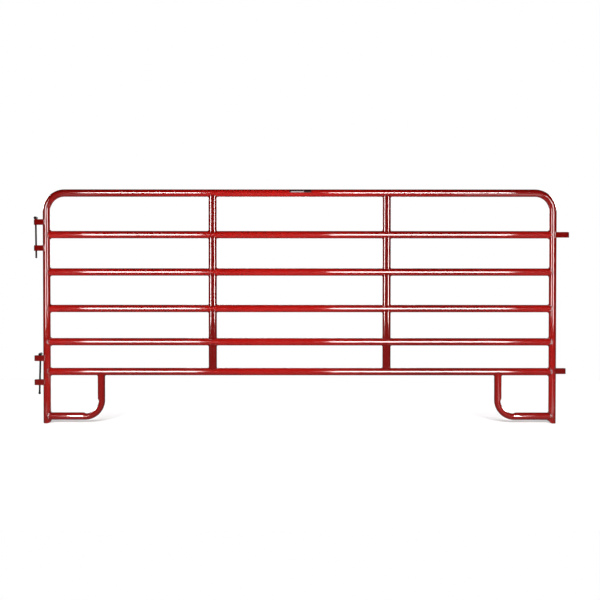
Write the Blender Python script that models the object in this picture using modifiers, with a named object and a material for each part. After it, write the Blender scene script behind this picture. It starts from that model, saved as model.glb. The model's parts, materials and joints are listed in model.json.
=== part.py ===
"""Livestock panel gate.

One round tube is bent into an inverted U, which makes both posts and the top rail. Five more
rails are welded between the posts, two rows of flat-oval stays are welded between the rails,
and a bent leg tube braces each bottom corner. Loops of flat bar on the posts link one panel to
the next, and two drop pins slide up and down in the loops on the left post.

Metres. +X runs along the panel, the front faces -Y, +Z is up, and the origin is the middle of
the panel at floor level.
"""

import math

import bmesh
import bpy
from mathutils import Vector

# Overall size
LENGTH = 3.6576                  # 12 ft, over the tips of the lugs
HEIGHT = 1.6007                  # 63 in, floor to the top of the top rail

# Round tube, 2 in outside
TUBE_R = 0.0254
TUBE_WALL = 0.0015
TUBE_SIDES = 24
FIT_GAP = 0.0003                 # room that a welded piece keeps from its neighbour

# Frame
CORNER_R = 0.123                 # centreline radius of the top corners
CORNER_STEPS = 8
RAIL_Z = (1.2914, 1.0363, 0.7866, 0.5588, 0.3543)

# Flat-oval stays, pressed from the same tube
STAY_INSET = 1.1355              # post centre to stay centre
STAY_WIDTH = 0.056
STAY_DEPTH = 0.041
STAY_END_STEPS = 10              # facets round each end of the oval

# Leg tubes in the bottom corners
LEG_INSET = 0.372                # post centre to the leg's upright
LEG_Z = 0.0486                   # centre height of the leg's level run
LEG_BEND_R = 0.112
LEG_BEND_STEPS = 10
LEG_PRESS = 0.0075               # the press pushes the inner wall of the bend in by this much
LEG_PRESS_RAMP = 0.022           # and starts over this length of tube, at each end of the bend

# Relief cut across the inner corner of each post's foot
FOOT_CUT_WIDTH = 0.020
FOOT_CUT_HEIGHT = {"left": 0.010, "right": 0.019}

# Loop lugs of flat bar, standing on edge
BAR_HEIGHT = 0.038
BAR_THICK = 0.0048
BAR_EDGE_R = 0.0008
LOOP_WIDTH = 0.044               # outside width of the loop, along Y
LOOP_END_STEPS = 12
FEMALE_REACH = 0.0862            # post centre to the tip of a loop
MALE_UPPER_REACH = 0.1108
MALE_LOWER_REACH = 0.0922
FEMALE_UPPER_Z = (1.3775, 1.1998)
FEMALE_LOWER_Z = (0.4460, 0.2812)
MALE_UPPER_Z = 1.2914
MALE_LOWER_Z = 0.3585

# Drop pins: a rod with a flattened foot and a cross handle on top
PIN_LENGTH = 0.285
PIN_R = 0.00635
PIN_SIDES = 20
FOOT_R = 0.0072                  # half the foot's thin way
FOOT_SPREAD = 1.25               # the foot's wide way over its thin way
FOOT_HEIGHT = 0.024
HANDLE_R = 0.0091
HANDLE_LENGTH = 0.070
HANDLE_EDGE_R = 0.0015
# Each pin hangs loose in its loops: the handle's distance out from the post's centre, how far
# the foot swings outwards, and how far the pin is turned about its own axis
UPPER_PIN = {"offset": 0.0735, "lean": math.radians(-0.6), "turn": math.radians(90.0)}
LOWER_PIN = {"offset": 0.0445, "lean": math.radians(1.55), "turn": 0.0}

# Name label on the upper front of the top rail
LABEL_X = -0.008
LABEL_LENGTH = 0.150
LABEL_THICK = 0.0004
LABEL_ARC = (math.radians(8.0), math.radians(66.0))   # above the level front line of the rail
LABEL_STEPS = 6

TOP_Z = HEIGHT - TUBE_R
POST_LEFT_X = -LENGTH / 2 + FEMALE_REACH
POST_RIGHT_X = LENGTH / 2 - MALE_UPPER_REACH
COPE_R = (TUBE_R + FIT_GAP) / math.cos(math.pi / TUBE_SIDES)   # its flats clear the tube


def clear_scene():
    for obj in list(bpy.data.objects):
        bpy.data.objects.remove(obj, do_unlink=True)


def new_collection(name):
    collection = bpy.data.collections.new(name)
    bpy.context.scene.collection.children.link(collection)
    return collection


def new_material(name, color, roughness, metallic):
    material = bpy.data.materials.new(name)
    material.use_nodes = True
    shader = material.node_tree.nodes["Principled BSDF"]
    shader.inputs["Base Color"].default_value = (*color, 1.0)
    shader.inputs["Roughness"].default_value = roughness
    shader.inputs["Metallic"].default_value = metallic
    material.diffuse_color = (*color, 1.0)
    return material


def add_object(name, data, collection, location=(0, 0, 0)):
    obj = bpy.data.objects.new(name, data)
    obj.location = location
    collection.objects.link(obj)
    return obj


def add_cutter(name, data, location=(0, 0, 0)):
    """A tool solid: it shapes the parts and isn't one of them."""
    cutter = add_object(name, data, CUTTERS, location)
    cutter.display_type = "WIRE"
    cutter.hide_render = True
    return cutter


def bar_mesh(name, radius, length, sides):
    """A solid round bar along Z, centred on its origin."""
    mesh = bpy.data.meshes.new(name)
    shape = bmesh.new()
    bmesh.ops.create_cone(shape, cap_ends=True, segments=sides, radius1=radius, radius2=radius,
                          depth=length)
    shape.to_mesh(mesh)
    shape.free()
    return mesh


def tube_cutter(name, start, end):
    """A bar just thicker than the round tube, along the tube that other pieces are coped to."""
    start, end = Vector(start), Vector(end)
    run = end - start
    cutter = add_cutter(name, bar_mesh(name, COPE_R, run.length, TUBE_SIDES), (start + end) / 2)
    cutter.rotation_mode = "QUATERNION"
    cutter.rotation_quaternion = run.to_track_quat("Z", "Y")
    return cutter


def evaluated_mesh(obj):
    """A copy of the mesh that an object's curve or modifiers make."""
    bpy.context.view_layer.update()
    return bpy.data.meshes.new_from_object(obj.evaluated_get(bpy.context.evaluated_depsgraph_get()))


def curve_surface(name, curve):
    """The open surface that a curve object makes, as a mesh; the curve is removed."""
    guide = add_object(name, curve, bpy.context.scene.collection)
    mesh = evaluated_mesh(guide)
    mesh.name = name
    bpy.data.objects.remove(guide, do_unlink=True)
    bpy.data.curves.remove(curve)
    shape = bmesh.new()
    shape.from_mesh(mesh)
    bmesh.ops.recalc_face_normals(shape, faces=shape.faces)
    shape.to_mesh(mesh)
    shape.free()
    return mesh


def poly_spline(curve, points, cyclic=False):
    spline = curve.splines.new("POLY")
    spline.points.add(len(points) - 1)
    for target, point in zip(spline.points, points):
        target.co = (*point, 1.0)
    spline.use_cyclic_u = cyclic


def ribbon_curve(name, outline, width, cyclic=False):
    """A flat outline in XY, drawn up and down along Z into a wall of the given width."""
    curve = bpy.data.curves.new(name, "CURVE")
    curve.dimensions = "2D"
    curve.fill_mode = "NONE"
    curve.extrude = width / 2
    poly_spline(curve, [(x, y, 0.0) for x, y in outline], cyclic)
    return curve


def add_wall(obj, thickness, offset):
    solidify = obj.modifiers.new("wall", "SOLIDIFY")
    solidify.thickness = thickness
    solidify.offset = offset


def add_bevel(obj, width, angle=60.0):
    bevel = obj.modifiers.new("edges", "BEVEL")
    bevel.width = width
    bevel.segments = 1
    bevel.limit_method = "ANGLE"
    bevel.angle_limit = math.radians(angle)


def cope(obj, *cutters):
    """Trims an object to the surface of each round tube that it is welded to."""
    for cutter in cutters:
        cut = obj.modifiers.new("cope", "BOOLEAN")
        cut.operation = "DIFFERENCE"
        cut.solver = "EXACT"
        cut.object = cutter


def arc(center, radius, start, end, steps):
    """Points of an arc in a plane, its ends included; the angles are in degrees."""
    turns = [math.radians(start + (end - start) * i / steps) for i in range(steps + 1)]
    return [(center[0] + radius * math.cos(t), center[1] + radius * math.sin(t)) for t in turns]


def round_tube(name, path):
    """A hollow, open-ended round tube along a path in the panel's plane."""
    curve = bpy.data.curves.new(name, "CURVE")
    curve.dimensions = "3D"
    curve.bevel_depth = TUBE_R
    curve.bevel_resolution = TUBE_SIDES // 2 - 2
    poly_spline(curve, [(x, 0.0, z) for x, z in path])
    tube = add_object(name, curve_surface(name, curve), PARTS)
    tube.data.materials.append(RED)
    add_wall(tube, TUBE_WALL, -1)
    return tube


def foot_cutter(side, post_x, inward):
    """A block whose top face slants up through the inner corner of a post's foot."""
    height = FOOT_CUT_HEIGHT[side]
    slope = math.atan2(height, FOOT_CUT_WIDTH)
    size = 4 * TUBE_R
    mesh = bpy.data.meshes.new(f"{side}_foot_cutter")
    shape = bmesh.new()
    bmesh.ops.create_cube(shape, size=size)
    shape.to_mesh(mesh)
    shape.free()
    middle = Vector((post_x + inward * (TUBE_R - FOOT_CUT_WIDTH / 2), 0.0, height / 2))
    down = Vector((inward * math.sin(slope), 0.0, -math.cos(slope)))
    cutter = add_cutter(mesh.name, mesh, middle + down * size / 2)
    cutter.rotation_euler.y = -inward * slope
    return cutter


def build_frame():
    """The inverted U: left post, top rail and right post in one bent tube."""
    bend_z = TOP_Z - CORNER_R
    left_bend = arc((POST_LEFT_X + CORNER_R, bend_z), CORNER_R, 180, 90, CORNER_STEPS)
    right_bend = arc((POST_RIGHT_X - CORNER_R, bend_z), CORNER_R, 90, 0, CORNER_STEPS)
    frame = round_tube("frame_tube", [(POST_LEFT_X, 0.0), *left_bend, *right_bend,
                                      (POST_RIGHT_X, 0.0)])
    cope(frame, foot_cutter("left", POST_LEFT_X, 1), foot_cutter("right", POST_RIGHT_X, -1))


def build_rails():
    for number, z in enumerate(RAIL_Z, start=2):
        rail = round_tube(f"rail_{number}", [(POST_LEFT_X, z), (POST_RIGHT_X, z)])
        cope(rail, POST_CUTTERS["left"], POST_CUTTERS["right"])


def stay_outline():
    flat = (STAY_WIDTH - STAY_DEPTH) / 2
    right = arc((flat, 0.0), STAY_DEPTH / 2, -90, 90, STAY_END_STEPS)
    left = arc((-flat, 0.0), STAY_DEPTH / 2, 90, 270, STAY_END_STEPS)
    return right + left


def build_stays():
    """Short flat-oval tubes, one between each pair of rails, in two rows."""
    heights = (TOP_Z, *RAIL_Z)
    rows = {"left": POST_LEFT_X + STAY_INSET, "right": POST_RIGHT_X - STAY_INSET}
    for side, x in rows.items():
        for number in range(1, len(heights)):
            high, low = heights[number - 1], heights[number]
            name = f"stay_{side}_{number}"
            surface = curve_surface(name, ribbon_curve(name, stay_outline(), high - low, True))
            stay = add_object(name, surface, PARTS, (x, 0.0, (high + low) / 2))
            stay.data.materials.append(RED)
            add_wall(stay, TUBE_WALL, -1)
            cope(stay, RAIL_CUTTERS[number - 1], RAIL_CUTTERS[number])


def press_bend(mesh, center, inward):
    """Flattens the inner wall of a leg's bend, as a press does, with a short ramp at each end."""
    arc_length = LEG_BEND_R * math.pi / 2
    for vertex in mesh.vertices:
        out, down = inward * (vertex.co.x - center[0]), center[1] - vertex.co.z
        if out > 0.0 and down > 0.0:                          # in the bend
            along = LEG_BEND_R * math.atan2(down, out)
            depth = LEG_BEND_R - math.hypot(out, down)
            toward = Vector((-inward * out, 0.0, down)).normalized()
        elif down <= 0.0:                                     # on the upright
            along, depth, toward = down, LEG_BEND_R - out, Vector((-inward, 0.0, 0.0))
        else:                                                 # on the level run
            along, depth, toward = arc_length - out, LEG_BEND_R - down, Vector((0.0, 0.0, 1.0))
        inside = min(along, arc_length - along) + LEG_PRESS_RAMP / 2
        share = min(max(inside / LEG_PRESS_RAMP, 0.0), 1.0)
        share *= share * (3.0 - 2.0 * share)
        vertex.co -= toward * max(depth, 0.0) * share * LEG_PRESS / TUBE_R


def build_legs():
    """Bent tubes from the bottom rail down and out to the foot of each post."""
    ramp = [LEG_PRESS_RAMP * step / 4 for step in (2, 1)]
    for side, post_x, inward in (("left", POST_LEFT_X, 1), ("right", POST_RIGHT_X, -1)):
        upright_x = post_x + inward * LEG_INSET
        center = (upright_x - inward * LEG_BEND_R, LEG_Z + LEG_BEND_R)
        start = 0 if inward > 0 else 180
        bend = arc(center, LEG_BEND_R, start, start - inward * 90, LEG_BEND_STEPS)
        above = [(upright_x, center[1] + step) for step in ramp]
        beyond = [(center[0] - inward * step, LEG_Z) for step in reversed(ramp)]
        leg = round_tube(f"leg_{side}", [(upright_x, RAIL_Z[-1]), *above, *bend, *beyond,
                                         (post_x, LEG_Z)])
        press_bend(leg.data, center, inward)
        cope(leg, RAIL_CUTTERS[-1], POST_CUTTERS[side])


def build_lug(name, side, z, reach):
    """A loop of flat bar standing out from a post, for a drop pin to pass through."""
    post_x, outward = (POST_LEFT_X, -1) if side == "left" else (POST_RIGHT_X, 1)
    half = (LOOP_WIDTH - BAR_THICK) / 2
    end = arc((reach - LOOP_WIDTH / 2, 0.0), half, -90, 90, LOOP_END_STEPS)
    outline = [(0.0, -half), *end, (0.0, half)]
    outline = [(outward * x, y) for x, y in outline]
    lug = add_object(name, curve_surface(name, ribbon_curve(name, outline, BAR_HEIGHT)), PARTS,
                     (post_x, 0.0, z))
    lug.data.materials.append(RED)
    add_wall(lug, BAR_THICK, 0)
    add_bevel(lug, BAR_EDGE_R)
    cope(lug, POST_CUTTERS[side])


def build_lugs():
    for level, heights in (("upper", FEMALE_UPPER_Z), ("lower", FEMALE_LOWER_Z)):
        for place, z in zip(("top", "bottom"), heights):
            build_lug(f"female_lug_{level}_{place}", "left", z, FEMALE_REACH)
    build_lug("male_lug_upper", "right", MALE_UPPER_Z, MALE_UPPER_REACH)
    build_lug("male_lug_lower", "right", MALE_LOWER_Z, MALE_LOWER_REACH)


def rod_profile():
    """Outer side of a pin below its handle, top to bottom, with the handle's axis at zero."""
    foot = HANDLE_R - PIN_LENGTH
    tip = arc((0.0, foot + FOOT_R), FOOT_R, 15, -90, 7)
    return [(0.0, 0.0), (PIN_R, 0.0), (PIN_R, foot + FOOT_HEIGHT), *tip[:-1], (0.0, foot)]


def spread_foot(mesh):
    """Widens a turned rod along X, smoothly from the top of its foot down to the tip."""
    shoulder = HANDLE_R - PIN_LENGTH + FOOT_HEIGHT
    for vertex in mesh.vertices:
        depth = min(max((shoulder - vertex.co.z) / (FOOT_HEIGHT - FOOT_R), 0.0), 1.0)
        vertex.co.x *= 1.0 + (FOOT_SPREAD - 1.0) * depth * depth * (3.0 - 2.0 * depth)


def build_rod(name, axis, material, turn):
    mesh = bpy.data.meshes.new(name)
    profile = [(x, 0.0, z) for x, z in rod_profile()]
    mesh.from_pydata(profile, [(i, i + 1) for i in range(len(profile) - 1)], [])
    rod = add_object(name, mesh, PARTS)
    turned = rod.modifiers.new("turned", "SCREW")
    turned.steps = PIN_SIDES
    turned.render_steps = PIN_SIDES
    turned.use_merge_vertices = True
    turned.merge_threshold = 0.0001
    rod.data = evaluated_mesh(rod)
    rod.modifiers.clear()
    spread_foot(rod.data)
    rod.data.materials.append(material)
    rod.rotation_euler.z = turn
    rod.parent = axis
    cutter = add_cutter(f"{name}_cutter", bar_mesh(name, HANDLE_R + 2 * FIT_GAP,
                                                   HANDLE_LENGTH, TUBE_SIDES))
    cutter.rotation_euler.x = math.pi / 2
    cutter.parent = axis
    cope(rod, cutter)


def build_handle(name, axis, material):
    handle = add_object(name, bar_mesh(name, HANDLE_R, HANDLE_LENGTH, TUBE_SIDES), PARTS)
    handle.rotation_euler.x = math.pi / 2
    handle.parent = axis
    handle.data.materials.append(material)
    add_bevel(handle, HANDLE_EDGE_R)


def build_pins():
    """Two drop pins, each under an empty that stands on its sliding axis."""
    pins = (("upper", FEMALE_UPPER_Z[0], UPPER_PIN, UPPER_STEEL),
            ("lower", FEMALE_LOWER_Z[0], LOWER_PIN, LOWER_STEEL))
    for level, lug_z, pose, material in pins:
        handle_z = lug_z + BAR_HEIGHT / 2 + HANDLE_R + FIT_GAP
        place = (POST_LEFT_X - pose["offset"], 0.0, handle_z)
        axis = add_object(f"{level}_pin_axis", None, PARTS, place)
        axis.rotation_euler.y = pose["lean"]
        build_rod(f"{level}_pin_rod", axis, material, pose["turn"])
        build_handle(f"{level}_pin_handle", axis, material)


def build_label():
    """A thin plate wrapped round the upper front of the top rail."""
    turns = [180.0 - math.degrees(angle) for angle in LABEL_ARC]
    outline = arc((0.0, 0.0), TUBE_R + FIT_GAP + LABEL_THICK, turns[0], turns[1], LABEL_STEPS)
    surface = curve_surface("name_label", ribbon_curve("name_label", outline, LABEL_LENGTH))
    label = add_object("name_label", surface, PARTS, (LABEL_X, 0.0, TOP_Z))
    label.rotation_euler = (math.pi / 2, 0.0, math.pi / 2)
    label.data.materials.append(LABEL_FILM)
    add_wall(label, LABEL_THICK, -1)


def shade_parts():
    """Round surfaces are smooth, and the cut ends keep a sharp edge."""
    solids = {obj: evaluated_mesh(obj) for obj in PARTS.objects if obj.type == "MESH"}
    for obj, mesh in solids.items():
        obj.modifiers.clear()
        obj.data = mesh
        mesh.shade_smooth()
        mesh.set_sharp_from_angle(angle=math.radians(32))


clear_scene()
PARTS = new_collection("livestock_panel_gate")
CUTTERS = new_collection("cutters")
RED = new_material("red_powder_coat", (0.42, 0.012, 0.016), 0.22, 0.0)
UPPER_STEEL = new_material("upper_pin_steel", (0.035, 0.014, 0.016), 0.45, 0.6)
LOWER_STEEL = new_material("lower_pin_steel", (0.018, 0.016, 0.016), 0.45, 0.6)
LABEL_FILM = new_material("label_film", (0.55, 0.50, 0.50), 0.4, 0.0)

POST_CUTTERS = {
    "left": tube_cutter("left_post_cutter", (POST_LEFT_X, 0, -TUBE_R), (POST_LEFT_X, 0, HEIGHT)),
    "right": tube_cutter("right_post_cutter", (POST_RIGHT_X, 0, -TUBE_R),
                         (POST_RIGHT_X, 0, HEIGHT)),
}
RAIL_CUTTERS = [
    tube_cutter(f"rail_cutter_{number}", (POST_LEFT_X, 0, z), (POST_RIGHT_X, 0, z))
    for number, z in enumerate((TOP_Z, *RAIL_Z), start=1)
]

build_frame()
build_rails()
build_stays()
build_legs()
build_lugs()
build_pins()
build_label()
shade_parts()
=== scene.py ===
"""Livestock panel gate: smooth tubes, weld beads, finishes, floor, lights and camera.

Metres, in the CAD frame: +X along the panel, the front faces -Y, +Z is up.
"""
import json
import math

import bmesh
import bpy
from mathutils import Matrix, Vector, noise


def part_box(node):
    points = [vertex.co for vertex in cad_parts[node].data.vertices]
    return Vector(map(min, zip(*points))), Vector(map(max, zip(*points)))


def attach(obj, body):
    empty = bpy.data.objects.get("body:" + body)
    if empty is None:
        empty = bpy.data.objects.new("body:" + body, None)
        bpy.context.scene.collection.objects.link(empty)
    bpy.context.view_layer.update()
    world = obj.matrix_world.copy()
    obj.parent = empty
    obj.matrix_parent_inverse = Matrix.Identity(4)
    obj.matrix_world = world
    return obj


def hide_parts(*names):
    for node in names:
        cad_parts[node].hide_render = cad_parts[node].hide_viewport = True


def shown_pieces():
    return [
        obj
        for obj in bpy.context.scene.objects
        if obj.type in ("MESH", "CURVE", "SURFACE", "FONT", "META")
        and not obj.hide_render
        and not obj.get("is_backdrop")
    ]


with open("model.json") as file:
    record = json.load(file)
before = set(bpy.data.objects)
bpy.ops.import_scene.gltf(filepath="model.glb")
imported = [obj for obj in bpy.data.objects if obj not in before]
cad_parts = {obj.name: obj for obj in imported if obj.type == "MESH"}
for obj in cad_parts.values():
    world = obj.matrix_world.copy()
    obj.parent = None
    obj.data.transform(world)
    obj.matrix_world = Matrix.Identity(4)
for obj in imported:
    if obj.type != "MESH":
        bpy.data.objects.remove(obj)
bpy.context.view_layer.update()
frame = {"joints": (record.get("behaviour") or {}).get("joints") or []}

# Shape constants that a box doesn't give; the same values as the CAD part's
TUBE_WALL = 0.0015
FIT_GAP = 0.0003
CORNER_R = 0.123                 # centreline radius of the top corners
LEG_BEND_R = 0.112
LEG_PRESS = 0.0075               # how far a leg's inner wall is pressed in along its bend
LEG_PRESS_RAMP = 0.022
FOOT_CUT_WIDTH = 0.020
FOOT_CUT_HEIGHT = {"left": 0.010, "right": 0.019}
BAR_THICK = 0.0048
BAR_EDGE_R = 0.0008
PIN_R = 0.00635
PIN_FOOT_R = 0.0072
PIN_FOOT_SPREAD = 1.25
PIN_FOOT_HEIGHT = 0.024
PIN_TURN = {"upper": math.radians(90.0), "lower": 0.0}
HANDLE_R = 0.0091
HANDLE_EDGE_R = 0.0015
LABEL_THICK = 0.0004
LABEL_ARC = (math.radians(8.0), math.radians(66.0))

# Fineness
SIDES = 64                       # round a tube
BEND_STEPS = 28                  # along a 90 degree bend
RAMP_STEPS = 6                   # along half of a press ramp
OVAL_STEPS = 24                  # round each end of a stay's flat oval
LOOP_STEPS = 40                  # round the end of a lug's loop
BAR_EDGE_STEPS = 4               # round one edge of the flat bar
PIN_SIDES = 40
PIN_FOOT_STEPS = 13              # round the tip of a pin
HANDLE_SIDES = 48
HANDLE_EDGE_STEPS = 6
LABEL_STEPS = 20
CHAMFER = 0.0003                 # broken edge of a cut tube end
POST_PLAIN_Z = 0.04              # a plain section above a post's cut foot
RAIL_PLAIN_X = (-1.0, 1.0)       # plain sections between a rail's coped ends
LOOP_PLAIN_SHARE = 0.6           # a plain section that far from the post to a loop's bend
PIN_PLAIN_Z = -0.03              # a plain section under a rod's cope, from the handle's axis
PIN_SPREAD_STEP = 0.002          # between sections where a rod's foot spreads
PIN_SPREAD_STEPS = 7
HANDLE_LID_SHARE = 0.35          # size of the lid on a handle's end

# Angles above which an edge between faces is sharp, degrees
EDGE_SHARP = 32.0
ROD_SHARP = 50.0
BEAD_SHARP = 70.0

# The label's pale band: its corners' x, and their height over the rail's axis
LABEL_BAND = ((-0.0715, 0.0045), (0.0175, 0.0135))

# Places, read from the frame
RAILS = [f"rail_{number}" for number in range(2, 7)]
LUGS = {
    "left": ["female_lug_upper_top", "female_lug_upper_bottom", "female_lug_lower_top",
             "female_lug_lower_bottom"],
    "right": ["male_lug_upper", "male_lug_lower"],
}


def middle(node):
    low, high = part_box(node)
    return (low + high) / 2


rail_low, rail_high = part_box("rail_2")
TUBE_R = (rail_high.y - rail_low.y) / 2
COPE_R = TUBE_R + FIT_GAP
tube_low, tube_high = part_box("frame_tube")
POST_X = {"left": tube_low.x + TUBE_R, "right": tube_high.x - TUBE_R}
INWARD = {"left": 1, "right": -1}
TOP_Z = tube_high.z - TUBE_R
RAIL_Z = [TOP_Z] + [middle(name).z for name in RAILS]


# ---------------------------------------------------------------- mesh tools

def skin(shape, rings, around=False):
    """Quads between each ring of vertices and the next; around joins the last to the first."""
    pairs = list(zip(rings, rings[1:]))
    if around:
        pairs.append((rings[-1], rings[0]))
    for one, two in pairs:
        for i in range(len(one)):
            j = (i + 1) % len(one)
            shape.faces.new((one[i], one[j], two[j], two[i]))


def new_rings(shape, rings):
    return [[shape.verts.new(point) for point in ring] for ring in rings]


def break_edge(rings, other):
    """The rings, with each end ring replaced by two that cut its corner off."""
    ends = []
    for end, beside in ((0, 1), (-1, -2)):
        wall, face = [], []
        for point, back, across in zip(rings[end], rings[beside], other[end]):
            wall.append(point + (back - point).normalized() * CHAMFER)
            face.append(point + (across - point).normalized() * CHAMFER)
        ends.append((wall, face))
    return [ends[0][1], ends[0][0], *rings[1:-1], ends[1][0], ends[1][1]]


def add_hollow(shape, outer, inner):
    """A closed tube wall: an outer and an inner skin, joined by a broken edge at each end."""
    outside = new_rings(shape, break_edge(outer, inner))
    inside = new_rings(shape, break_edge(inner, outer))
    skin(shape, outside)
    skin(shape, inside)
    skin(shape, [outside[0], inside[0]])
    skin(shape, [outside[-1], inside[-1]])


def add_solid(shape, rings):
    """A closed sweep with a lid on each end."""
    made = new_rings(shape, rings)
    skin(shape, made)
    lids = [shape.faces.new(made[0]), shape.faces.new(made[-1])]
    bmesh.ops.triangulate(shape, faces=lids)


def make_piece(name, shape, material, slot, body, nodes=(), sharp=EDGE_SHARP,
               flats=False):
    """Links the shape as a piece that rides on the body, in place of its CAD nodes if any."""
    bmesh.ops.recalc_face_normals(shape, faces=shape.faces)
    mesh = bpy.data.meshes.new(name)
    shape.to_mesh(mesh)
    shape.free()
    mesh.materials.append(material)
    mesh.shade_smooth()
    mesh.set_sharp_from_angle(angle=math.radians(sharp))
    piece = bpy.data.objects.new(name, mesh)
    bpy.context.scene.collection.objects.link(piece)
    if flats:
        level = piece.modifiers.new("level_flats", "WEIGHTED_NORMAL")
        level.keep_sharp = True
    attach(piece, body)
    if nodes:
        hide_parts(*nodes)


def panel_piece(name, shape, nodes=(), **options):
    """A powder-coated piece of the welded panel."""
    make_piece(name, shape, RED, "red_powder_coat", "panel", nodes, **options)


def circle(radius, count=SIDES):
    turns = [2 * math.pi * (i + 0.5) / count for i in range(count)]
    return [(radius * math.cos(t), radius * math.sin(t)) for t in turns]


def smooth_step(value):
    value = min(max(value, 0.0), 1.0)
    return value * value * (3.0 - 2.0 * value)


# ---------------------------------------------------------------- finishes

def new_material(name):
    material = bpy.data.materials.new(name)
    material.use_nodes = True
    return material, material.node_tree, material.node_tree.nodes["Principled BSDF"]


def add_node(tree, kind, inputs=None, **settings):
    made = tree.nodes.new(kind)
    for key, value in settings.items():
        setattr(made, key, value)
    for key, value in (inputs or {}).items():
        if isinstance(value, bpy.types.NodeSocket):
            tree.links.new(value, made.inputs[key])
        else:
            made.inputs[key].default_value = value
    return made


def noise_at(tree, place, scale, detail=3.0, roughness=0.55):
    made = add_node(tree, "ShaderNodeTexNoise",
                    {"Vector": place, "Scale": scale, "Detail": detail, "Roughness": roughness})
    return made.outputs["Fac"]


def spread(tree, value, low, high, to_low=0.0, to_high=1.0):
    made = add_node(tree, "ShaderNodeMapRange",
                    {"Value": value, "From Min": low, "From Max": high, "To Min": to_low,
                     "To Max": to_high})
    return made.outputs["Result"]


def blend_color(tree, factor, one, two):
    made = add_node(tree, "ShaderNodeMix", data_type="RGBA")
    for key, value in (("Factor_Float", factor), ("A_Color", one), ("B_Color", two)):
        socket = next(s for s in made.inputs if s.identifier == key)
        if isinstance(value, bpy.types.NodeSocket):
            tree.links.new(value, socket)
        elif key == "Factor_Float":
            socket.default_value = value
        else:
            socket.default_value = (*value, 1.0)
    return next(s for s in made.outputs if s.identifier == "Result_Color")


def times(tree, one, two):
    return add_node(tree, "ShaderNodeMath", {0: one, 1: two}, operation="MULTIPLY").outputs[0]


def add_bump(tree, shader, height, strength, distance, coat=False):
    made = add_node(tree, "ShaderNodeBump",
                    {"Height": height, "Strength": strength, "Distance": distance})
    tree.links.new(made.outputs["Normal"], shader.inputs["Normal"])
    if coat:
        tree.links.new(made.outputs["Normal"], shader.inputs["Coat Normal"])


def powder_coat():
    """Glossy red powder coat: slightly uneven tone, orange peel, dust low down."""
    material, tree, shader = new_material("red_powder_coat")
    place = add_node(tree, "ShaderNodeTexCoord").outputs["Object"]
    height = add_node(tree, "ShaderNodeSeparateXYZ", {0: place}).outputs["Z"]
    deep_red, bright_red = (0.365, 0.0050, 0.0034), (0.410, 0.0074, 0.0050)
    mottle_red, dust_color = (0.345, 0.0045, 0.0030), (0.30, 0.13, 0.11)
    dust_top, dust_most = 0.16, 0.30
    tone = spread(tree, noise_at(tree, place, 3.1, 4.0), 0.32, 0.68)
    mottle = spread(tree, noise_at(tree, place, 46.0), 0.3, 0.7)
    red = blend_color(tree, tone, deep_red, bright_red)
    red = blend_color(tree, times(tree, mottle, 0.5), red, mottle_red)
    dust = times(tree, spread(tree, height, dust_top, 0.0),
                 spread(tree, noise_at(tree, place, 75.0, 5.0, 0.7), 0.45, 0.75, 0.0, dust_most))
    red = blend_color(tree, dust, red, dust_color)
    tree.links.new(red, shader.inputs["Base Color"])
    rough = spread(tree, noise_at(tree, place, 19.0, 5.0, 0.6), 0.3, 0.7, 0.05, 0.09)
    tree.links.new(rough, shader.inputs["Roughness"])
    shader.inputs["Coat Weight"].default_value = 1.0
    shader.inputs["Coat Roughness"].default_value = 0.04
    peel = noise_at(tree, place, 420.0, 1.5, 0.4)
    add_bump(tree, shader, peel, 0.6, 0.000006, coat=True)
    return material


def pin_steel(name, dark, warm, metallic):
    """Dark oxidised rod: blotchy oxide, satin, with a fine forged grain."""
    material, tree, shader = new_material(name)
    place = add_node(tree, "ShaderNodeTexCoord").outputs["Object"]
    blotch = spread(tree, noise_at(tree, place, 55.0, 5.0, 0.65), 0.38, 0.66)
    color = blend_color(tree, blotch, dark, warm)
    tree.links.new(color, shader.inputs["Base Color"])
    rough = spread(tree, noise_at(tree, place, 130.0, 4.0), 0.3, 0.7, 0.38, 0.60)
    tree.links.new(rough, shader.inputs["Roughness"])
    shader.inputs["Metallic"].default_value = metallic
    shader.inputs["Specular IOR Level"].default_value = 0.25
    add_bump(tree, shader, noise_at(tree, place, 420.0, 3.0, 0.6), 0.4, 0.0003)
    return material


def label_film(low, high):
    """Dark printed film with one plain pale band along its lower half, and no writing.

    low and high are the band's corners in X and Z.
    """
    material, tree, shader = new_material("label_film")
    place = add_node(tree, "ShaderNodeTexCoord").outputs["Object"]
    split = add_node(tree, "ShaderNodeSeparateXYZ", {0: place})
    across, up = split.outputs["X"], split.outputs["Z"]
    edge = 0.0004                # half the width of the band's soft edge
    inside = times(tree, spread(tree, across, low[0] - edge, low[0] + edge),
                   spread(tree, across, high[0] + edge, high[0] - edge))
    inside = times(tree, inside, spread(tree, up, low[1] - edge, low[1] + edge))
    inside = times(tree, inside, spread(tree, up, high[1] + edge, high[1] - edge))
    worn = spread(tree, noise_at(tree, place, 260.0, 4.0), 0.35, 0.7, 0.0, 0.12)
    dark_new, dark_worn = (0.055, 0.008, 0.010), (0.20, 0.06, 0.06)
    pale_new, pale_worn = (0.86, 0.70, 0.71), (0.62, 0.40, 0.41)
    dark = blend_color(tree, worn, dark_new, dark_worn)
    pale = blend_color(tree, worn, pale_new, pale_worn)
    tree.links.new(blend_color(tree, inside, dark, pale), shader.inputs["Base Color"])
    rough = spread(tree, noise_at(tree, place, 90.0), 0.3, 0.7, 0.30, 0.42)
    tree.links.new(rough, shader.inputs["Roughness"])
    add_bump(tree, shader, noise_at(tree, place, 500.0, 2.0), 0.15, 0.0001)
    return material


# ---------------------------------------------------------------- tubes

def post_reach(y):
    """How far out from a post's axis another piece starts, at that y."""
    return math.sqrt(max(COPE_R ** 2 - y ** 2, 0.0))


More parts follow.
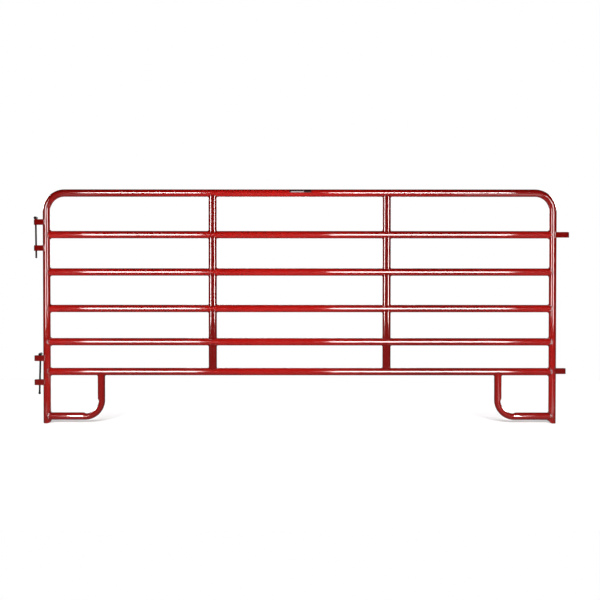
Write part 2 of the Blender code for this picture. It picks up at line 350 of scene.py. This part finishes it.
def build_frame_tube():
    """One bent tube: left post, top rail and right post."""
    bend_z = TOP_Z - CORNER_R
    stations = [(Vector((POST_X["left"], 0, 0)), Vector((1, 0, 0)), "left"),
                (Vector((POST_X["left"], 0, POST_PLAIN_Z)), Vector((1, 0, 0)), None)]
    for side, turn in (("left", range(BEND_STEPS + 1)), ("right", range(BEND_STEPS, -1, -1))):
        inward = INWARD[side]
        center = Vector((POST_X[side] + inward * CORNER_R, 0, bend_z))
        for step in turn:
            angle = math.pi / 2 * step / BEND_STEPS
            out = Vector((-inward * math.cos(angle), 0, math.sin(angle)))
            stations.append((center + out * CORNER_R, -out, None))
    stations += [(Vector((POST_X["right"], 0, POST_PLAIN_Z)), Vector((-1, 0, 0)), None),
                 (Vector((POST_X["right"], 0, 0)), Vector((-1, 0, 0)), "right")]
    skins = []
    for radius in (TUBE_R, TUBE_R - TUBE_WALL):
        rings = []
        for center, toward, foot in stations:
            ring = [center + toward * a + Vector((0, b, 0)) for a, b in circle(radius)]
            if foot:
                slope = FOOT_CUT_HEIGHT[foot] / FOOT_CUT_WIDTH
                for point in ring:
                    beyond = INWARD[foot] * (point.x - center.x) - (TUBE_R - FOOT_CUT_WIDTH)
                    point.z = max(beyond * slope, 0.0)
            rings.append(ring)
        skins.append(rings)
    shape = bmesh.new()
    add_hollow(shape, *skins)
    panel_piece("frame_tube_smooth", shape, ["frame_tube"])


def build_rails():
    for name in RAILS:
        z = middle(name).z
        skins = []
        for radius in (TUBE_R, TUBE_R - TUBE_WALL):
            left = [Vector((POST_X["left"] + post_reach(a), a, z + b)) for a, b in circle(radius)]
            right = [Vector((POST_X["right"] - post_reach(a), a, z + b)) for a, b in circle(radius)]
            plain = [[Vector((x, p.y, p.z)) for p in left] for x in RAIL_PLAIN_X]
            skins.append([left, *plain, right])
        shape = bmesh.new()
        add_hollow(shape, *skins)
        panel_piece(f"{name}_smooth", shape, [name])


def oval(width, depth, count=OVAL_STEPS):
    """A flat oval: straight front and back, half-round ends."""
    flat, radius = (width - depth) / 2, depth / 2
    points = []
    for sign in (1, -1):
        for i in range(count + 1):
            turn = math.pi * (i / count - 0.5)
            points.append((sign * (flat + radius * math.cos(turn)), sign * radius * math.sin(turn)))
    return points


def stay_size(name):
    low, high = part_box(name)
    return high.x - low.x, high.y - low.y


def build_stays():
    for side in ("left", "right"):
        for number in range(1, len(RAIL_Z)):
            name = f"stay_{side}_{number}"
            x = middle(name).x
            width, depth = stay_size(name)
            high, low = RAIL_Z[number - 1], RAIL_Z[number]
            skins = []
            for wall in (0.0, TUBE_WALL):
                outline = oval(width - 2 * wall, depth - 2 * wall)
                top = [Vector((x + a, b, high - post_reach(b))) for a, b in outline]
                bottom = [Vector((x + a, b, low + post_reach(b))) for a, b in outline]
                skins.append([top, bottom])
            shape = bmesh.new()
            add_hollow(shape, *skins)
            panel_piece(f"{name}_smooth", shape, [name], flats=True)


def leg_axes(side):
    """The x of a leg's upright and the z of its level run."""
    low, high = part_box(f"leg_{side}")
    return high.x - TUBE_R if side == "left" else low.x + TUBE_R, low.z + TUBE_R


def leg_stations(side):
    """(centre, direction towards the bend's centre, share of the press) down the leg."""
    inward = INWARD[side]
    upright_x, level_z = leg_axes(side)
    center = Vector((upright_x - inward * LEG_BEND_R, 0, level_z + LEG_BEND_R))
    arc_length = LEG_BEND_R * math.pi / 2
    half = LEG_PRESS_RAMP / 2
    marks = [-half * (1 - i / RAMP_STEPS) for i in range(RAMP_STEPS)]
    marks += [arc_length * i / BEND_STEPS for i in range(BEND_STEPS + 1)]
    marks += [arc_length + half * (i + 1) / RAMP_STEPS for i in range(RAMP_STEPS)]
    stations = [(Vector((upright_x, 0, RAIL_Z[-1])), Vector((-inward, 0, 0)), 0.0)]
    for mark in marks:
        share = smooth_step((min(mark, arc_length - mark) + half) / LEG_PRESS_RAMP)
        turn = min(max(mark, 0.0), arc_length) / LEG_BEND_R
        out = Vector((inward * math.cos(turn), 0, -math.sin(turn)))
        along = Vector((0, 0, 1)) * max(-mark, 0.0)
        along += Vector((-inward, 0, 0)) * max(mark - arc_length, 0.0)
        stations.append((center + out * LEG_BEND_R + along, -out, share))
    stations.append((Vector((POST_X[side], 0, level_z)), Vector((0, 0, 1)), 0.0))
    return stations


def build_legs():
    for side in ("left", "right"):
        stations = leg_stations(side)
        skins = []
        for radius in (TUBE_R, TUBE_R - TUBE_WALL):
            rings = []
            for number, (center, toward, share) in enumerate(stations):
                ring = []
                for a, b in circle(radius):
                    if a > 0:
                        a *= 1.0 - share * LEG_PRESS / TUBE_R
                    point = center + toward * a + Vector((0, b, 0))
                    if number == 0:
                        point.z = RAIL_Z[-1] - post_reach(point.y)
                    if number == len(stations) - 1:
                        point.x = POST_X[side] + INWARD[side] * post_reach(point.y)
                    ring.append(point)
                rings.append(ring)
            skins.append(rings)
        shape = bmesh.new()
        add_hollow(shape, *skins)
        panel_piece(f"leg_{side}_smooth", shape, [f"leg_{side}"])


# ---------------------------------------------------------------- lugs and pins

def bar_section(thick, height):
    """A flat bar's rounded section: (across the thickness, up)."""
    points = []
    for sx, sz, start in ((1, 1, 0), (-1, 1, 90), (-1, -1, 180), (1, -1, 270)):
        for i in range(BAR_EDGE_STEPS + 1):
            turn = math.radians(start + 90 * i / BAR_EDGE_STEPS)
            points.append((sx * (thick / 2 - BAR_EDGE_R) + BAR_EDGE_R * math.cos(turn),
                           sz * (height / 2 - BAR_EDGE_R) + BAR_EDGE_R * math.sin(turn)))
    return points


def lug_sizes(name, side):
    """Reach from the post's axis, width along Y, height, and the height of its middle."""
    low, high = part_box(name)
    reach = POST_X[side] - low.x if side == "left" else high.x - POST_X[side]
    return reach, high.y - low.y, high.z - low.z, (high.z + low.z) / 2


def build_lugs():
    for side, names in LUGS.items():
        outward = -INWARD[side]
        for name in names:
            reach, width, height, z = lug_sizes(name, side)
            half = (width - BAR_THICK) / 2
            bend_x = reach - width / 2
            plain_x = LOOP_PLAIN_SHARE * bend_x + (1 - LOOP_PLAIN_SHARE) * TUBE_R
            path = [(0.0, -half, 0.0, -1.0), (plain_x, -half, 0.0, -1.0)]
            for i in range(LOOP_STEPS + 1):
                turn = math.pi * (i / LOOP_STEPS - 0.5)
                path.append((bend_x + half * math.cos(turn), half * math.sin(turn),
                             math.cos(turn), math.sin(turn)))
            path += [(plain_x, half, 0.0, 1.0), (0.0, half, 0.0, 1.0)]
            rings = []
            for number, (x, y, normal_x, normal_y) in enumerate(path):
                ring = []
                for across, up in bar_section(BAR_THICK, height):
                    px, py = x + normal_x * across, y + normal_y * across
                    if number in (0, len(path) - 1):
                        px = post_reach(py)
                    ring.append(Vector((POST_X[side] + outward * px, py, z + up)))
                rings.append(ring)
            shape = bmesh.new()
            add_solid(shape, rings)
            panel_piece(f"{name}_smooth", shape, [name], flats=True)


def pin_frame(level):
    """The matrix from a pin's own axes, with the handle's axis at the origin, to the panel."""
    joint = next(j for j in frame["joints"] if j["name"] == f"{level}_pin_lift")
    axis = Vector(joint["axis"]).normalized()
    lean = math.atan2(axis.x, axis.z)
    return Matrix.Translation(middle(f"{level}_pin_handle")) @ Matrix.Rotation(lean, 4, "Y")


def rod_rings(level, place):
    """Sections of a pin's rod, from the cope under the handle to the flattened foot."""
    low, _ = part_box(f"{level}_pin_rod")
    lean = place.to_euler().y
    foot = -(middle(f"{level}_pin_handle").z - low.z) / math.cos(lean)
    foot += PIN_FOOT_R * (1 / math.cos(lean) - 1)
    shoulder = foot + PIN_FOOT_HEIGHT
    turn = Matrix.Rotation(PIN_TURN[level], 4, "Z")
    profile = [(PIN_R, None), (PIN_R, PIN_PLAIN_Z), (PIN_R, shoulder)]
    profile += [(PIN_R, shoulder - PIN_SPREAD_STEP * i) for i in range(1, PIN_SPREAD_STEPS + 1)]
    for i in range(PIN_FOOT_STEPS):
        angle = math.radians(15 - 105 * i / PIN_FOOT_STEPS)
        profile.append((PIN_FOOT_R * math.cos(angle),
                        foot + PIN_FOOT_R + PIN_FOOT_R * math.sin(angle)))
    rings = []
    for radius, z in profile:
        ring = []
        for a, b in circle(radius, PIN_SIDES):
            end = z if z is not None else 0.0
            spread_share = smooth_step((shoulder - end) / (PIN_FOOT_HEIGHT - PIN_FOOT_R))
            wide = a * (1.0 + (PIN_FOOT_SPREAD - 1.0) * spread_share)
            point = turn @ Vector((wide, b, end))
            if z is None:
                point.z = -math.sqrt((HANDLE_R + 2 * FIT_GAP) ** 2 - point.x ** 2)
            ring.append(place @ point)
        rings.append(ring)
    return rings


def handle_rings(level, place):
    """Sections of a pin's cross handle, with its rounded ends, along Y."""
    low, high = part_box(f"{level}_pin_handle")
    half = (high.y - low.y) / 2
    profile = [(HANDLE_R * HANDLE_LID_SHARE, -half), (HANDLE_R - HANDLE_EDGE_R, -half)]
    for i in range(1, HANDLE_EDGE_STEPS):
        angle = math.radians(90 * i / HANDLE_EDGE_STEPS)
        profile.append((HANDLE_R - HANDLE_EDGE_R + HANDLE_EDGE_R * math.sin(angle),
                        -half + HANDLE_EDGE_R - HANDLE_EDGE_R * math.cos(angle)))
    profile.append((HANDLE_R, -half + HANDLE_EDGE_R))
    profile += [(radius, -y) for radius, y in reversed(profile)]
    return [[place @ Vector((a, y, b)) for a, b in circle(radius, HANDLE_SIDES)]
            for radius, y in profile]


def build_pins():
    for level, steel in (("upper", UPPER_STEEL), ("lower", LOWER_STEEL)):
        place = pin_frame(level)
        for part, rings, sharp in (("rod", rod_rings(level, place), ROD_SHARP),
                                   ("handle", handle_rings(level, place), EDGE_SHARP)):
            shape = bmesh.new()
            add_solid(shape, rings)
            node = f"{level}_pin_{part}"
            make_piece(f"{node}_smooth", shape, steel, f"{level}_pin_steel", f"{level}_pin",
                       [node], sharp=sharp)


def build_label():
    """A thin film wrapped round the top rail's upper front, with nothing written on it."""
    low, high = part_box("name_label")
    inner_r = TUBE_R + FIT_GAP
    start, end = LABEL_ARC
    rings = []
    for x in (low.x, high.x):
        ring = []
        for radius, order in ((inner_r, range(LABEL_STEPS + 1)),
                              (inner_r + LABEL_THICK, range(LABEL_STEPS, -1, -1))):
            for i in order:
                angle = start + (end - start) * i / LABEL_STEPS
                ring.append(Vector((x, -radius * math.cos(angle),
                                    TOP_Z + radius * math.sin(angle))))
        rings.append(ring)
    shape = bmesh.new()
    made = new_rings(shape, rings)
    skin(shape, made)
    for ring in made:
        count = len(ring)
        for i in range(LABEL_STEPS):
            shape.faces.new((ring[i], ring[i + 1], ring[count - 2 - i], ring[count - 1 - i]))
    film = label_film(*((x, TOP_Z + up) for x, up in LABEL_BAND))
    make_piece("name_label_blank", shape, film, "label_film", "panel", ["name_label"])


# ---------------------------------------------------------------- welds

UP, ALONG = Vector((0, 0, 1)), Vector((1, 0, 0))
BEAD_STEP = 0.00105              # between sections, along a bead
BEAD_WAVES = 160.0               # scale of the noise in a bead's size, per metre
BEAD_LEG_WOBBLE = 0.16           # share of the leg length that the noise changes
BEAD_BULGE_WOBBLE = 0.35         # and of the bulge
BEAD_RIPPLE = 0.38               # share of the bulge that comes and goes with each ripple
BEAD_ROOT = 0.0008               # how far a bead's root goes past the seam
BEAD_SINK = 0.00015              # and how far the whole section is let in
BEAD_LEAN = 0.0011               # how far the middle of a ripple leads its ends
POST_LEG, POST_BULGE = 0.0066, 0.0019            # level tubes on the posts
RAIL_LEG, RAIL_BULGE = 0.0046, 0.0012            # upright pieces on the rails
LUG_LEG, LUG_BULGE = 0.0036, 0.0008
PIN_LEG, PIN_BULGE, PIN_PITCH, PIN_STEP = 0.0019, 0.0004, 0.0024, 0.0006
TUBE_SEAM_SIDES, STAY_SEAM_STEPS, PIN_SEAM_SIDES = 240, 60, 120


def add_bead(shape, seam, away, main_axis, main_center, main_r, leg, bulge, seed,
             pitch=0.0042, around=10):
    """A closed fillet weld with a rippled face.

    seam: points round the joint. away: the branch's direction out of the joint. main_axis,
    main_center and main_r: the round tube that the branch is welded to. leg, bulge: the size
    of the weld's section. seed: shifts the noise. pitch: from one ripple to the next.
    around: points in a section.
    """
    count = len(seam)
    rings = []
    length = 0.0
    for i, point in enumerate(seam):
        before, after = seam[i - 1], seam[(i + 1) % count]
        length += (point - before).length if i else 0.0
        tangent = (after - before).normalized()
        off = point - main_center
        radial = off - main_axis * off.dot(main_axis)
        normal = radial.normalized()
        side = normal.cross(tangent).normalized()
        if side.dot(away) > 0 and abs(side.dot(away)) > 1e-6:
            side = -side
        wobble = noise.noise(point * BEAD_WAVES + Vector((seed, 0, 0)))
        size = leg * (1.0 + BEAD_LEG_WOBBLE * wobble)
        toe_branch = point + away * size
        toe_main = point + side * size
        off = toe_main - main_center
        flat = off - main_axis * off.dot(main_axis)
        toe_main = toe_main - flat + flat.normalized() * main_r
        chord = toe_branch - toe_main
        half = chord.length / 2
        center = (toe_branch + toe_main) / 2
        across = chord.normalized()
        lift = tangent.cross(across).normalized()
        if lift.dot(normal + away * 0.2) < 0:
            lift = -lift
        depth = max((center - point).dot(lift), 0.0) + BEAD_ROOT
        ripple = 0.5 + 0.5 * math.cos(2 * math.pi * length / pitch)
        height = bulge * (1.0 + BEAD_BULGE_WOBBLE * wobble)
        height *= 1.0 - BEAD_RIPPLE + BEAD_RIPPLE * ripple
        ring = []
        for k in range(around):
            turn = 2 * math.pi * k / around
            up = math.sin(turn)
            rise = height * up if up > 0 else depth * up
            ring.append(center + across * half * math.cos(turn) + lift * (rise - BEAD_SINK)
                        + tangent * (BEAD_LEAN * max(up, 0.0) ** 2))
        rings.append(ring)
    skin(shape, new_rings(shape, rings), around=True)


def even(points, step):
    """The same closed run of points, spaced evenly about step apart."""
    loop = points + points[:1]
    lengths = [0.0]
    for one, two in zip(loop, loop[1:]):
        lengths.append(lengths[-1] + (two - one).length)
    count = max(int(lengths[-1] / step), 12)
    spaced, at = [], 0
    for i in range(count):
        target = lengths[-1] * i / count
        while lengths[at + 1] < target:
            at += 1
        share = (target - lengths[at]) / (lengths[at + 1] - lengths[at])
        spaced.append(loop[at].lerp(loop[at + 1], share))
    return spaced


def post_bead(shape, side, z, seed, outline, outward=False, leg=POST_LEG, bulge=POST_BULGE):
    """A bead where a level piece with that (y, z) outline meets a post."""
    direction = INWARD[side] * (-1 if outward else 1)
    seam = [Vector((POST_X[side] + direction * post_reach(y), y, z + up)) for y, up in outline]
    add_bead(shape, even(seam, BEAD_STEP), ALONG * direction, UP,
             Vector((POST_X[side], 0, 0)), TUBE_R, leg, bulge, seed)


def rail_bead(shape, rail_z, x, sign, seed, outline):
    """A bead where an upright piece with that (x, y) outline meets a rail, above it or below."""
    seam = [Vector((x + a, b, rail_z + sign * post_reach(b))) for a, b in outline]
    add_bead(shape, even(seam, BEAD_STEP), UP * sign, ALONG, Vector((0, 0, rail_z)),
             TUBE_R, RAIL_LEG, RAIL_BULGE, seed)


def build_welds():
    tube_outline = circle(TUBE_R, TUBE_SEAM_SIDES)
    for side in ("left", "right"):
        shape = bmesh.new()
        for number, name in enumerate(RAILS):
            post_bead(shape, side, middle(name).z, 7.0 * number, tube_outline)
        upright_x, level_z = leg_axes(side)
        post_bead(shape, side, level_z, 41.0, tube_outline)
        for number, name in enumerate(LUGS[side]):
            _, width, height, z = lug_sizes(name, side)
            for half in (-1, 1):
                y = half * (width - BAR_THICK) / 2
                outline = [(y + a, b) for a, b in bar_section(BAR_THICK, height)]
                post_bead(shape, side, z, 50.0 + 3 * number + half, outline, outward=True,
                          leg=LUG_LEG, bulge=LUG_BULGE)
        panel_piece(f"welds_post_{side}", shape, sharp=BEAD_SHARP)

        shape = bmesh.new()
        for number in range(1, len(RAIL_Z)):
            name = f"stay_{side}_{number}"
            outline = oval(*stay_size(name), count=STAY_SEAM_STEPS)
            x = middle(name).x
            rail_bead(shape, RAIL_Z[number - 1], x, -1, 11.0 * number, outline)
            rail_bead(shape, RAIL_Z[number], x, 1, 11.0 * number + 5, outline)
        panel_piece(f"welds_stays_{side}", shape, sharp=BEAD_SHARP)

        shape = bmesh.new()
        rail_bead(shape, RAIL_Z[-1], upright_x, -1, 90.0, tube_outline)
        panel_piece(f"weld_leg_{side}", shape, sharp=BEAD_SHARP)

    for level, steel in (("upper", UPPER_STEEL), ("lower", LOWER_STEEL)):
        place = pin_frame(level)
        seam = []
        for a, b in circle(PIN_R, PIN_SEAM_SIDES):
            seam.append(place @ Vector((a, b, -math.sqrt(HANDLE_R ** 2 - a ** 2))))
        turn = place.to_3x3()
        shape = bmesh.new()
        add_bead(shape, even(seam, PIN_STEP), turn @ -UP, turn @ Vector((0, 1, 0)),
                 place.translation, HANDLE_R, PIN_LEG, PIN_BULGE, 120.0, pitch=PIN_PITCH)
        make_piece(f"weld_{level}_pin", shape, steel, f"{level}_pin_steel", f"{level}_pin",
                   sharp=BEAD_SHARP)


# ---------------------------------------------------------------- scene

CAMERA_LENS = 87.7               # mm on a 36 mm sensor
CAMERA_PLACE = (-0.0099, -10.0, 1.10)
CAMERA_TARGET = (-0.0099, 0.0, 0.845)
CAMERA_ROLL = 0.02               # degrees
FLOOR_CORNERS = ((-6.5, -4.0), (6.5, -4.0), (6.5, 3.5), (-6.5, 3.5))
HORIZON = (-0.02, -0.12)         # between these slopes the room turns into the floor
ROOM_GLOW, FLOOR_GLOW = 0.012, 0.14
SIDE_Z, SIDE_TALL = 1.65, 2.7    # the tall side softboxes
STRIP_Y = -8.0                   # the level strips and the glint lights


def build_camera():
    data = bpy.data.cameras.new("camera")
    data.sensor_width = 36.0
    data.lens = CAMERA_LENS
    camera = bpy.data.objects.new("camera", data)
    bpy.context.scene.collection.objects.link(camera)
    camera.location = CAMERA_PLACE
    look = (Vector(CAMERA_TARGET) - camera.location).to_track_quat("-Z", "Y").to_matrix()
    roll = Matrix.Rotation(math.radians(CAMERA_ROLL), 3, "Z")
    camera.rotation_euler = (look @ roll).to_euler()
    bpy.context.scene.camera = camera


def area_light(name, place, target, size, radiance, group, diffuse=True, glossy=True):
    """A one-sided panel of that width and height, lighting only the group's pieces."""
    width, height = size
    data = bpy.data.lights.new(name, "AREA")
    data.shape = "RECTANGLE"
    data.size, data.size_y = width, height
    data.energy = radiance * math.pi * width * height
    light = bpy.data.objects.new(name, data)
    bpy.context.scene.collection.objects.link(light)
    light.location = place
    light.rotation_euler = (Vector(target) - Vector(place)).to_track_quat("-Z", "Y").to_euler()
    light.visible_camera = False
    light.visible_diffuse = diffuse
    light.visible_glossy = glossy
    light.light_linking.receiver_collection = group


def build_stage():
    shape = bmesh.new()
    shape.faces.new([shape.verts.new((x, y, 0.0)) for x, y in FLOOR_CORNERS])
    mesh = bpy.data.meshes.new("floor")
    shape.to_mesh(mesh)
    shape.free()
    material, tree, shader = new_material("pale_floor")
    place = add_node(tree, "ShaderNodeTexCoord").outputs["Object"]
    tone = spread(tree, noise_at(tree, place, 1.3), 0.3, 0.7)
    tree.links.new(blend_color(tree, tone, (0.86, 0.86, 0.86), (0.88, 0.88, 0.88)),
                   shader.inputs["Base Color"])
    shader.inputs["Roughness"].default_value = 0.9
    shader.inputs["Specular IOR Level"].default_value = 0.0
    mesh.materials.append(material)
    floor = bpy.data.objects.new("floor", mesh)
    floors = bpy.data.collections.new("floors")
    bpy.context.scene.collection.children.link(floors)
    floors.objects.link(floor)
    floor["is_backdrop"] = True
    floor.visible_glossy = False
    floor.visible_diffuse = False
    floor.visible_shadow = False
    # Even light on the floor alone: one part casts no shadow, two cast the legs' faint ones
    feet = receivers("foot_shadows", ("leg_", "frame_tube"))
    for name, toward, angle, strength, blockers in (
            ("floor_even", (0.0, 0.0, -1.0), 60.0, 1.92, floors),
            ("floor_left", (0.28, 2.8, -1.0), 13.0, 2.95, feet),
            ("floor_right", (-0.28, 2.8, -1.0), 13.0, 2.95, feet)):
        data = bpy.data.lights.new(name, "SUN")
        data.angle = math.radians(angle)
        data.energy = strength
        sun = bpy.data.objects.new(name, data)
        bpy.context.scene.collection.objects.link(sun)
        sun.rotation_euler = Vector(toward).to_track_quat("-Z", "Y").to_euler()
        sun.light_linking.receiver_collection = floors
        sun.light_linking.blocker_collection = blockers


def build_world():
    """White behind the object; what the gloss mirrors is a dim room above and a paler floor."""
    world = bpy.data.worlds.new("studio")
    bpy.context.scene.world = world
    world.use_nodes = True
    tree = world.node_tree
    tree.nodes.clear()
    path = add_node(tree, "ShaderNodeLightPath")
    toward = add_node(tree, "ShaderNodeTexCoord").outputs["Generated"]
    up = add_node(tree, "ShaderNodeSeparateXYZ", {0: toward}).outputs["Z"]
    glow = spread(tree, up, *HORIZON, ROOM_GLOW, FLOOR_GLOW)
    seen = add_node(tree, "ShaderNodeBackground", {"Color": (1, 1, 1, 1), "Strength": 1.0})
    dim = add_node(tree, "ShaderNodeBackground", {"Color": (1, 1, 1, 1), "Strength": glow})
    mix = add_node(tree, "ShaderNodeMixShader",
                   {0: path.outputs["Is Camera Ray"], 1: dim.outputs[0], 2: seen.outputs[0]})
    out = add_node(tree, "ShaderNodeOutputWorld")
    tree.links.new(mix.outputs[0], out.inputs["Surface"])


def receivers(name, prefixes):
    """A collection of the pieces whose names start so, for a light that lights only them."""
    group = bpy.data.collections.new(name)
    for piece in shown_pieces():
        if piece.name.startswith(prefixes):
            group.objects.link(piece)
    return group


def build_lights():
    # Tall side softboxes, which the posts and stays show as two lines each
    tubes = receivers("side_receivers", ("frame_tube", "rail_", "welds_"))
    stays = receivers("stay_side_receivers", ("stay_",))
    for name, left, right, radiance, group in (
            ("side_left", (-5.9, -6.7), (-4.8, -8.2), 17.0, tubes),
            ("side_right", (4.3, -9.7), (4.8, -7.7), 17.0, tubes),
            ("stay_side_left", (-6.2, -6.3), (-4.5, -8.6), 22.0, stays),
            ("stay_side_right", (4.2, -10.1), (4.9, -7.3), 22.0, stays)):
        one, two = Vector((*left, SIDE_Z)), Vector((*right, SIDE_Z))
        area_light(name, (one + two) / 2, (0, 0, SIDE_Z), ((two - one).length, SIDE_TALL),
                   radiance, group, diffuse=False)
    # Level strips: a low pair for the rails, and a high pair for the bent tube's top
    low = receivers("low_strip_receivers", ("rail_",))
    high = receivers("high_strip_receivers", ("frame_tube", "welds_post", "name_label"))
    for level, z, tall, radiance, group in (("low", 0.95, 5.0, 15.0, low),
                                            ("high", 2.47, 1.45, 42.0, high)):
        for name, x, width in (("left", -1.97, 1.46), ("right", 1.48, 2.24)):
            area_light(f"strip_{name}_{level}", (x, STRIP_Y, z), (x, 0, z), (width, tall),
                       radiance, group, diffuse=False)
    # A small light each side for the glint where a leg's level run starts to rise
    legs = receivers("leg_glint_receivers", ("leg_",))
    for name, x in (("left", -2.77), ("right", 2.60)):
        area_light(f"glint_{name}", (x, STRIP_Y, 0.95), (x, 0, 1.0), (0.17, 0.75), 330.0, legs,
                   diffuse=False)
    # What the paler floor in front of the feet adds to the posts' and the right leg's gloss
    right_feet = receivers("right_feet", ("frame_tube", "leg_right"))
    left_feet = receivers("left_feet", ("frame_tube",))
    for name, x, y, size, radiance, group in (
            ("right", 2.0, -2.3, (1.4, 3.4), 1.0, right_feet),
            ("left", -1.95, -0.95, (0.7, 0.9), 0.6, left_feet)):
        area_light(f"floor_card_{name}", (x, y, 0.003), (x, y, 1.0), size, radiance, group)
    # Broad soft fill from the front and from behind, for the body of the colour
    pieces = receivers("pieces", "")
    rails = receivers("rail_fill_receivers", ("rail_",))
    others = receivers("other_fill_receivers", ("frame_tube", "stay_", "leg_", "female_", "male_",
                                                "upper_", "lower_", "name_label", "weld"))
    for name, y, radiance, group in (("front_rail_fill", -9.0, 3.2, rails),
                                     ("front_fill", -9.0, 4.3, others),
                                     ("back_fill", 9.0, 5.0, pieces)):
        area_light(name, (0.0, y, 1.3), (0, 0, 0.9), (9.0, 4.0), radiance, group, glossy=False)
    # Near fills where the tubes show no white line: the middle, the rails' ends and the feet
    middle_tubes = receivers("middle_fill_receivers", ("rail_", "frame_tube"))
    feet = receivers("foot_fill_receivers", ("frame_tube", "leg_"))
    for name, x, y, z, size, radiance, group in (
            ("middle", -0.17, -0.9, 0.95, (0.5, 1.9), 4.5, middle_tubes),
            ("left_ends", -1.72, -0.6, 0.95, (0.2, 1.9), 4.8, rails),
            ("right_ends", 1.72, -0.6, 0.95, (0.2, 1.9), 4.8, rails),
            ("left_foot", -1.62, -0.6, 0.32, (0.3, 0.5), 3.0, feet),
            ("right_foot", 1.60, -0.6, 0.32, (0.3, 0.5), 3.6, feet)):
        area_light(f"near_fill_{name}", (x, y, z), (x, 0, z), size, radiance, group,
                   glossy=False)
    # Softboxes behind, high or central enough that the front shows nothing of them
    area_light("back", (0.0, 9.0, 1.6), (0, 0, 0.9), (3.0, 1.2), 6.0, pieces)
    for name, x in (("back_left", -7.0), ("back_right", 7.0)):
        area_light(name, (x, 7.0, 3.3), (0, 0, 0.9), (4.0, 2.6), 16.0, pieces, diffuse=False)


RED = powder_coat()
UPPER_STEEL = pin_steel("upper_pin_steel", (0.030, 0.010, 0.012), (0.070, 0.020, 0.022), 0.1)
LOWER_STEEL = pin_steel("lower_pin_steel", (0.008, 0.007, 0.007), (0.026, 0.018, 0.016), 0.1)

build_frame_tube()
build_rails()
build_stays()
build_legs()
build_lugs()
build_pins()
build_label()
build_welds()
build_stage()
build_world()
build_lights()
build_camera()
bpy.context.scene.view_settings.view_transform = "Standard"
